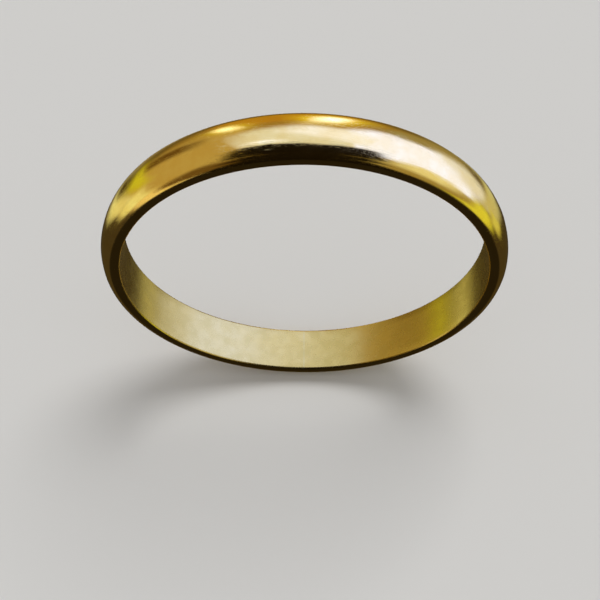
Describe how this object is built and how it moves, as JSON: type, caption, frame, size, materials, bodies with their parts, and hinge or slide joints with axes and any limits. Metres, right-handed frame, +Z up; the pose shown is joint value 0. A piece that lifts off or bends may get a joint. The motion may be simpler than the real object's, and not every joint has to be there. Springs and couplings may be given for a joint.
{
  "type": "wedding band",
  "caption": "Plain polished yellow gold band of D-shaped section: a domed outside, a straight bore and narrow flat sides, closed by one soldered seam.",
  "frame": {"origin": "centre of the finger hole, halfway along the band's width", "axes": "+Y along the finger's axis, +Z up with the ring standing on its edge and its soldered seam at the bottom, +X to the right seen along +Y"},
  "size_m": [0.02, 0.0024, 0.02],
  "materials": {
    "yellow_gold": null,
    "gold_solder": null
  },
  "bodies": {
    "root": {"band": "yellow_gold", "solder_seam": "gold_solder"}
  },
  "joints": []
}
